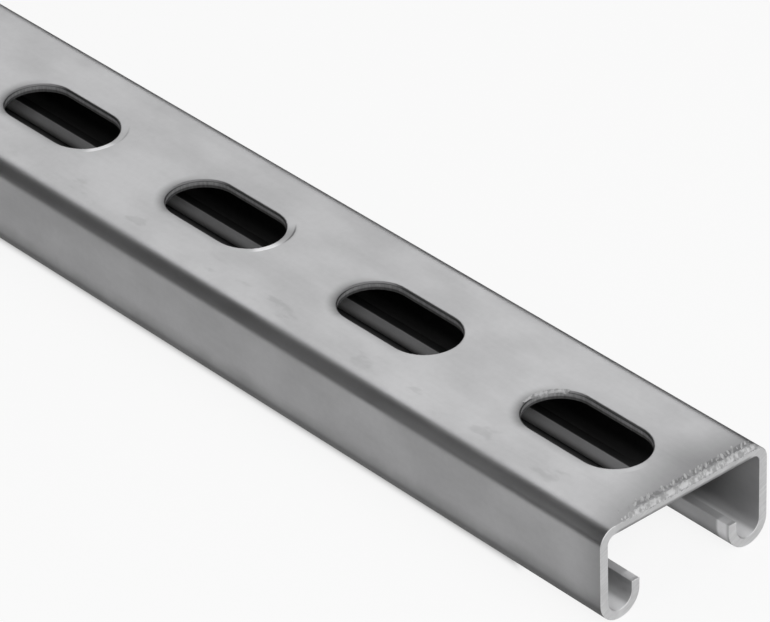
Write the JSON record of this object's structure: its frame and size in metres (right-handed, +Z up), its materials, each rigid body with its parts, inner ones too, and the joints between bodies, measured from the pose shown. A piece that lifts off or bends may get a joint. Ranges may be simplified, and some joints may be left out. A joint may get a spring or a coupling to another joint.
{
  "type": "slotted strut channel",
  "caption": "Shallow slotted strut channel, 41 x 21 mm section in 1.9 mm steel, 610 mm long, with 12 punched slots along the web and in-turned lips.",
  "frame": {"origin": "under the middle of the length and the width, on the plane that the two lip bends rest on", "axes": "+X along the channel to its sheared end in the picture, +Y across the web to the far flange, +Z up from the lips to the slotted web"},
  "size_m": [0.6096, 0.0412, 0.0206],
  "materials": {
    "rolled_steel": "satin"
  },
  "bodies": {
    "root": {"strut_channel": "rolled_steel"}
  },
  "joints": []
}
